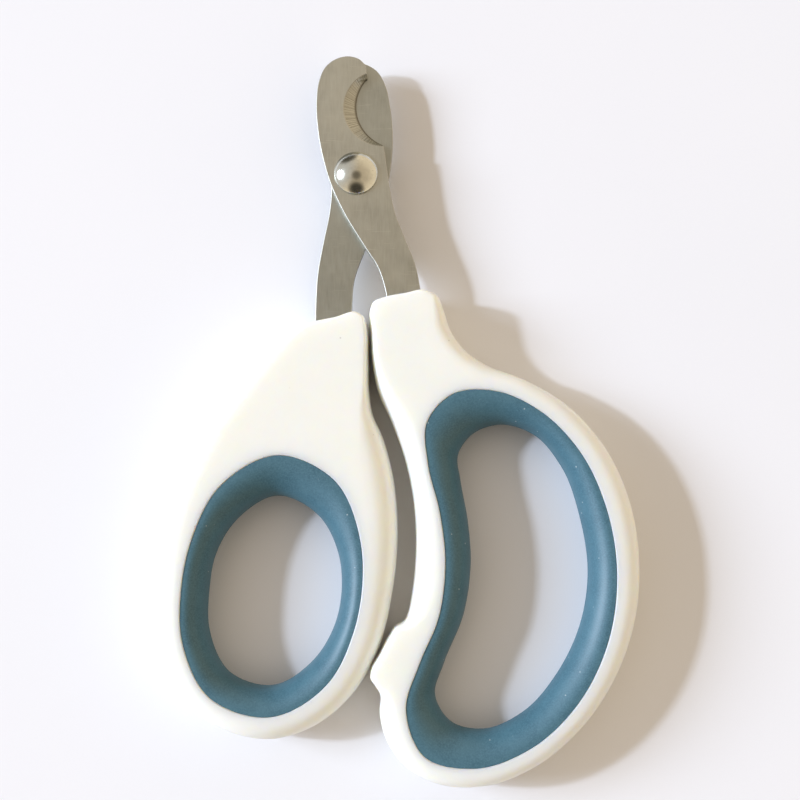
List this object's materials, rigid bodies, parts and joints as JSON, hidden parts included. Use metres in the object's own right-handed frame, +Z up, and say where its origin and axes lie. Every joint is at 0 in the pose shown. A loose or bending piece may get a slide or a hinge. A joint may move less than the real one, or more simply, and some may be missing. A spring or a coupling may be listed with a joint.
{
  "type": "pet nail trimmer",
  "caption": "Scissor-type pet nail trimmer: two notched blades on a domed rivet, each moulded into a finger handle with a soft grip ring.",
  "frame": {"origin": "bottom centre of the whole trimmer, closed and lying flat on its handles", "axes": "+Z up out of the face with the rivet's dome, +Y towards the blade tips, +X towards the large handle"},
  "size_m": [0.0821, 0.1273, 0.01],
  "materials": {
    "blade_steel": "satin, ground bevels",
    "rivet_steel": "polished",
    "washer_steel": "satin",
    "handle_plastic": "semi-gloss warm white",
    "grip_rubber": "satin teal blue"
  },
  "bodies": {
    "small_arm": {"rear_blade": "blade_steel", "pivot_rivet": "rivet_steel", "rivet_washer": "washer_steel", "small_handle": "handle_plastic", "small_grip": "grip_rubber"},
    "large_arm": {"front_blade": "blade_steel", "large_handle": "handle_plastic", "large_grip": "grip_rubber"}
  },
  "joints": [
    {"name": "pivot", "type": "hinge", "parent": "small_arm", "child": "large_arm", "pos_m": [-0.0076, 0.0418, 0.005], "axis": [0, 0, 1], "range_deg": [0, 45]}
  ]
}
